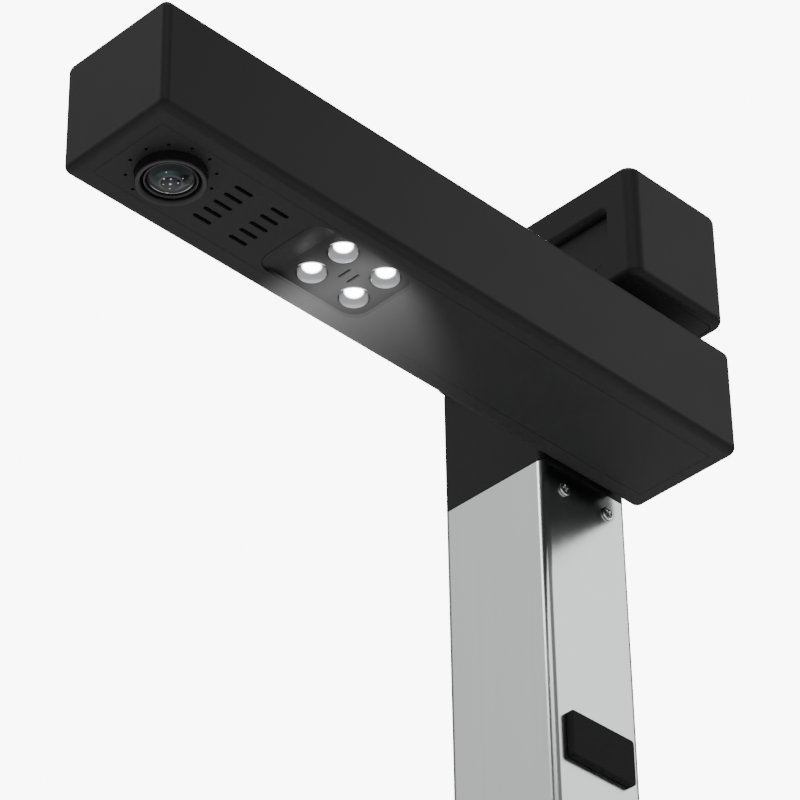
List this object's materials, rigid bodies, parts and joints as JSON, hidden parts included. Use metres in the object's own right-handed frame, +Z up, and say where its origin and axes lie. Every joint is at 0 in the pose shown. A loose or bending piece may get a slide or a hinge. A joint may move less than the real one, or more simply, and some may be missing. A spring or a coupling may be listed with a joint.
{
  "type": "overhead book scanner",
  "caption": "Overhead book scanner with a weighted base, a square silver mast, a long arm carrying the camera and lamps, and a display head.",
  "frame": {"origin": "middle of the overall footprint, on the table under the feet", "axes": "+Z up; the camera arm points to -Y, the mast stands at the rear (+Y) left (-X) and the arm hangs on its right (+X) side"},
  "size_m": [0.145, 0.373, 0.4049],
  "materials": {
    "black_plastic": "fine matt moulded black plastic",
    "gloss_black": "gloss black",
    "button_plastic": "satin dark grey keycaps",
    "black_rubber": "matt black rubber",
    "anodised_aluminium": "satin silver anodised extrusion",
    "painted_steel": "black painted sheet",
    "zinc_plate": "plain zinc-plated steel",
    "bright_screw": "bright nickel-plated screws",
    "coated_glass": "coated optical glass",
    "led_lens": "clear lamp lens",
    "circuit_board": "green solder mask"
  },
  "bodies": {
    "scanner": {"arm_bolt_1": "bright_screw", "arm_bolt_2": "bright_screw", "arm_cover": "black_plastic", "arm_mount": "black_plastic", "arm_rail": "zinc_plate", "arm_shell": "black_plastic", "ballast_plate": "zinc_plate", "base_plate": "painted_steel", "base_screw_1": "bright_screw", "base_screw_2": "bright_screw", "base_screw_3": "bright_screw", "base_screw_4": "bright_screw", "base_shell": "black_plastic", "button_board": "circuit_board", "cable_harness": "black_rubber", "camera_board": "circuit_board", "control_panel": "gloss_black", "dc_jack": "black_plastic", "display_board": "circuit_board", "display_glass": "gloss_black", "display_module": "gloss_black", "foot_1": "black_rubber", "foot_2": "black_rubber", "foot_3": "black_rubber", "foot_4": "black_rubber", "hdmi_port": "zinc_plate", "head_floor": "black_plastic", "head_shell": "black_plastic", "image_sensor": "gloss_black", "lamp_panel": "black_plastic", "led_board": "circuit_board", "led_lens_1": "led_lens", "led_lens_2": "led_lens", "led_lens_3": "led_lens", "led_lens_4": "led_lens", "lens_barrel": "black_plastic", "lens_glass": "coated_glass", "lens_inner": "coated_glass", "lens_ring": "gloss_black", "line_laser_1": "gloss_black", "line_laser_2": "gloss_black", "main_board": "circuit_board", "mast_foot": "zinc_plate", "mast_neck": "black_plastic", "mast_screw_left_1": "bright_screw", "mast_screw_left_2": "bright_screw", "mast_screw_right_1": "bright_screw", "mast_screw_right_2": "bright_screw", "mast_tube": "anodised_aluminium", "side_lamp_socket": "black_plastic", "usb_port": "zinc_plate"},
    "scan_button": {"scan_button": "button_plastic"},
    "power_button": {"power_button": "button_plastic"},
    "lamp_button": {"lamp_button": "button_plastic"},
    "socket_cap": {"socket_cap": "black_rubber"}
  },
  "joints": [
    {"name": "scan_button_press", "type": "slide", "parent": "scanner", "child": "scan_button", "axis": [0, 0, -1], "range_m": [0, 0.0008], "stiffness_N_per_m": 1800},
    {"name": "power_button_press", "type": "slide", "parent": "scanner", "child": "power_button", "axis": [0, 0, -1], "range_m": [0, 0.0008], "stiffness_N_per_m": 1800},
    {"name": "lamp_button_press", "type": "slide", "parent": "scanner", "child": "lamp_button", "axis": [0, 0, -1], "range_m": [0, 0.0008], "stiffness_N_per_m": 1800},
    {"name": "socket_cap_pull", "type": "slide", "parent": "scanner", "child": "socket_cap", "axis": [1, 0, 0], "range_m": [0, 0.012]}
  ]
}
